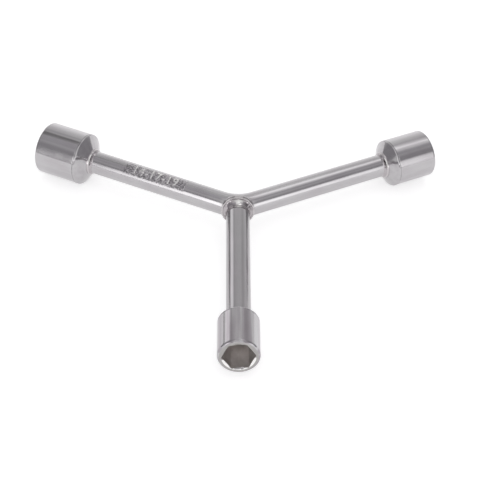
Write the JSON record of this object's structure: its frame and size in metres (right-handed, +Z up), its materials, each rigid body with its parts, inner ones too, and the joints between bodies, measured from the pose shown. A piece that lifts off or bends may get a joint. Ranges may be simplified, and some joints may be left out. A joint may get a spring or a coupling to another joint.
{
  "type": "y wrench",
  "caption": "Rigid Y-shaped socket wrench: a wide V of round bar with a straight bar welded to its bend, each end in a turned socket with a blind hexagonal pocket.",
  "frame": {"origin": "bottom centre of the bounding box, with the wrench lying flat and its arms level", "axes": "+Z up, square to the plane of the arms; -Y along the front arm, towards its socket; +X to the right, towards the right arm's socket"},
  "size_m": [0.2142, 0.176, 0.0275],
  "materials": {
    "satin_chrome": "satin",
    "weld_chrome": "satin, slightly uneven over the weld"
  },
  "bodies": {
    "root": {"side_bar": "satin_chrome", "front_bar": "satin_chrome", "left_socket": "satin_chrome", "right_socket": "satin_chrome", "front_socket": "satin_chrome", "hub_weld_collar": "weld_chrome", "left_neck_weld": "weld_chrome", "right_neck_weld": "weld_chrome", "front_neck_weld": "weld_chrome"}
  },
  "joints": []
}
